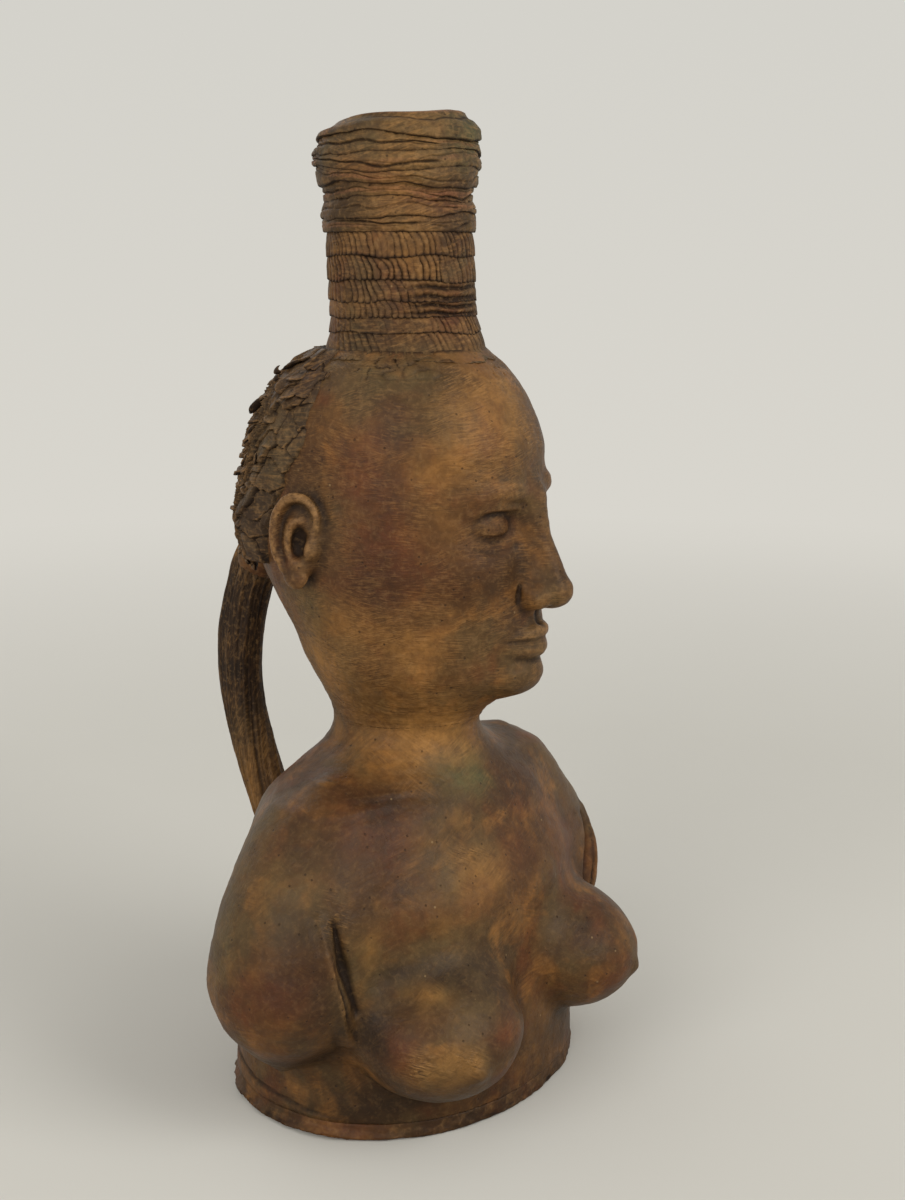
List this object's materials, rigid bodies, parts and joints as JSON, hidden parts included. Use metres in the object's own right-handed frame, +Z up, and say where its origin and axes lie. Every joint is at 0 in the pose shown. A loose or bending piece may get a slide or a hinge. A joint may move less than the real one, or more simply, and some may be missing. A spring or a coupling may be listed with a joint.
{
  "type": "figural clay amphora",
  "caption": "Hand-built figural jug: a hollow bust on an oval foot, its head crowned by a tall bottle neck of clay coils, with a loop handle from nape to back.",
  "frame": {"origin": "middle of the base slab's underside, on the axis of the neck and bottle neck", "axes": "+Z up along the vessel, the figure faces -Y, its left hand side is +X and the handle is at +Y"},
  "size_m": [0.283, 0.2446, 0.5203],
  "materials": {
    "base_clay": "dark umber slip over terracotta, torn raw edge",
    "foot_clay": "dark umber slip, scratched and smeared by hand",
    "body_clay": "terracotta rubbed with brown and olive oxide, satin",
    "head_clay": "terracotta rubbed with ochre and brown oxide, satin",
    "lip_clay": "terracotta rubbed with brown oxide, satin",
    "brow_clay": "dark brown oxide left in the modelled strands",
    "hair_clay": "grey-brown oxide on torn clay flakes, matt",
    "thumbed_clay": "red-brown terracotta, dark in the thumb marks",
    "coil_clay": "ochre-brown terracotta, dark in the seams",
    "handle_clay": "dark brown oxide, paler where it is held"
  },
  "bodies": {
    "root": {"base_slab": "base_clay", "foot_band": "foot_clay", "hair_row_1": "hair_clay", "hair_row_2": "hair_clay", "hair_row_3": "hair_clay", "hair_row_4": "hair_clay", "hair_row_5": "hair_clay", "hair_row_6": "hair_clay", "handle": "handle_clay", "head": "head_clay", "left_breast": "body_clay", "left_ear": "head_clay", "left_eyebrow": "brow_clay", "left_eyelid": "head_clay", "left_lid_fold": "head_clay", "left_upper_arm": "body_clay", "lower_lip": "lip_clay", "neck": "head_clay", "nose": "head_clay", "plain_coil_1": "coil_clay", "plain_coil_2": "coil_clay", "plain_coil_3": "coil_clay", "plain_coil_4": "coil_clay", "plain_coil_5": "coil_clay", "plain_coil_6": "coil_clay", "right_breast": "body_clay", "right_ear": "head_clay", "right_eyebrow": "brow_clay", "right_eyelid": "head_clay", "right_lid_fold": "head_clay", "right_upper_arm": "body_clay", "rim_coil": "coil_clay", "thumbed_row_1": "thumbed_clay", "thumbed_row_2": "thumbed_clay", "thumbed_row_3": "thumbed_clay", "thumbed_row_4": "thumbed_clay", "thumbed_row_5": "thumbed_clay", "thumbed_row_6": "thumbed_clay", "torso": "body_clay", "upper_lip": "lip_clay"}
  },
  "joints": []
}
